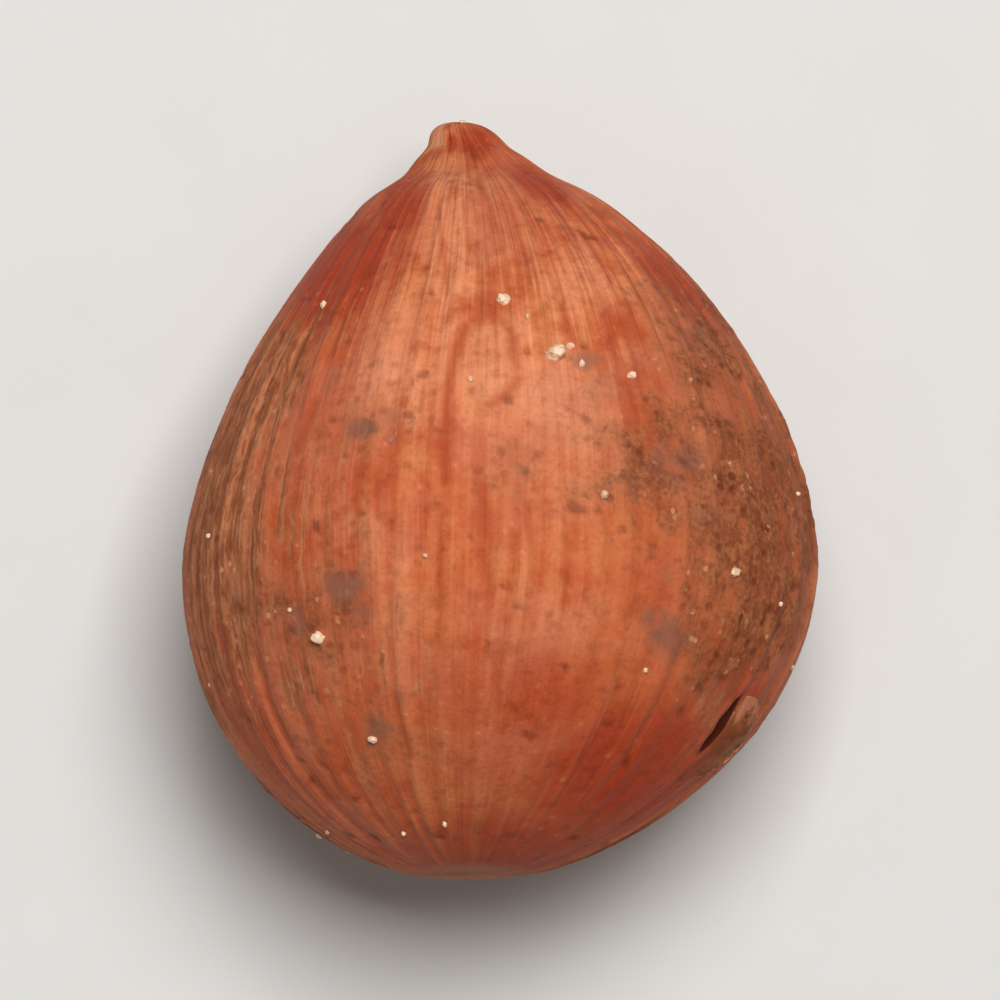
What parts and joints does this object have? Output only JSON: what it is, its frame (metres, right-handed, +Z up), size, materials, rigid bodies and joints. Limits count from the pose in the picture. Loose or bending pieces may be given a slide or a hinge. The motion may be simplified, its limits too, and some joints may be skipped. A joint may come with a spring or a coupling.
{
  "type": "hazelnut kernel",
  "caption": "Shelled raw hazelnut kernel in its brown skin: a teardrop with a blunt beak, fine ribs along its length and a small flat spot to rest on.",
  "frame": {"origin": "bottom centre of the kernel's box, with the flat spot that it rests on in the plane z = 0", "axes": "+Y along the kernel's length towards its beak, +Z up from the surface that it rests on, +X to the right seen from above"},
  "size_m": [0.014, 0.0166, 0.0132],
  "materials": {
    "skin": "satin"
  },
  "bodies": {
    "root": {"kernel": "skin"}
  },
  "joints": []
}
